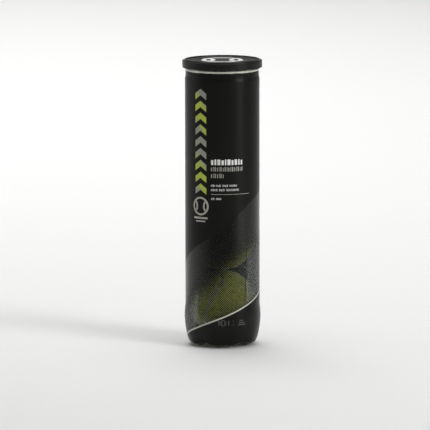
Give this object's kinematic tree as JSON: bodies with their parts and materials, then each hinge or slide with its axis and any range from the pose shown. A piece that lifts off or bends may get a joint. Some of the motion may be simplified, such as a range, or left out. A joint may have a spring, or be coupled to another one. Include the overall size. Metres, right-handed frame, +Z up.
{
  "type": "tennis ball can",
  "caption": "Tall clear pressurised ball tube in a printed film sleeve, with a tear-out metal end under a push-on overcap, holding tennis balls.",
  "frame": {"origin": "on the can's axis, at the plane that the base's feet stand on", "axes": "+Z up along the can's axis, -Y towards the front foot and the printed front"},
  "size_m": [0.0794, 0.0794, 0.2872],
  "materials": {
    "clear_pet": "clear blown PET",
    "printed_film": "glossy black print on clear shrink film",
    "end_metal": "bright lacquered sheet",
    "tab_metal": "bright stamped sheet",
    "seal_compound": "matte",
    "cap_plastic": "satin moulded",
    "felt": "napped felt",
    "core_rubber": "matte",
    "seam_rubber": "matte"
  },
  "bodies": {
    "can": {"pet_bottle": "clear_pet", "shrink_sleeve": "printed_film", "end_ring": "end_metal", "seam_seal": "seal_compound"},
    "ball_1": {"ball_1_core_a": "core_rubber", "ball_1_core_b": "core_rubber", "ball_1_felt_a": "felt", "ball_1_felt_b": "felt", "ball_1_seam": "seam_rubber"},
    "ball_2": {"ball_2_core_a": "core_rubber", "ball_2_core_b": "core_rubber", "ball_2_felt_a": "felt", "ball_2_felt_b": "felt", "ball_2_seam": "seam_rubber"},
    "ball_3": {"ball_3_core_a": "core_rubber", "ball_3_core_b": "core_rubber", "ball_3_felt_a": "felt", "ball_3_felt_b": "felt", "ball_3_seam": "seam_rubber"},
    "ball_4": {"ball_4_core_a": "core_rubber", "ball_4_core_b": "core_rubber", "ball_4_felt_a": "felt", "ball_4_felt_b": "felt", "ball_4_seam": "seam_rubber"},
    "end_panel": {"tear_panel": "end_metal", "tab_tongue": "tab_metal"},
    "tab": {"pull_tab": "tab_metal"},
    "cap": {"overcap": "cap_plastic"}
  },
  "joints": [
    {"name": "ball_1_lift", "type": "slide", "parent": "can", "child": "ball_1", "axis": [0, 0, 1], "range_m": [0, 0.285]},
    {"name": "ball_2_lift", "type": "slide", "parent": "ball_1", "child": "ball_2", "axis": [0, 0, 1], "range_m": [0, 0.215]},
    {"name": "ball_3_lift", "type": "slide", "parent": "ball_2", "child": "ball_3", "axis": [0, 0, 1], "range_m": [0, 0.15]},
    {"name": "ball_4_lift", "type": "slide", "parent": "ball_3", "child": "ball_4", "axis": [0, 0, 1], "range_m": [0, 0.085]},
    {"name": "panel_lift", "type": "slide", "parent": "ball_4", "child": "end_panel", "axis": [0, 0, 1], "range_m": [0, 0.045]},
    {"name": "cap_lift", "type": "slide", "parent": "end_panel", "child": "cap", "axis": [0, 0, 1], "range_m": [0, 0.06]},
    {"name": "tab_lift", "type": "hinge", "parent": "end_panel", "child": "tab", "pos_m": [0, -0.0322, 0.28], "axis": [1, 0, 0], "range_deg": [0, 82]}
  ],
  "couplings": [
    {"joint": "tab_lift", "follows": "cap_lift", "rad_per_m": 23.8}
  ]
}
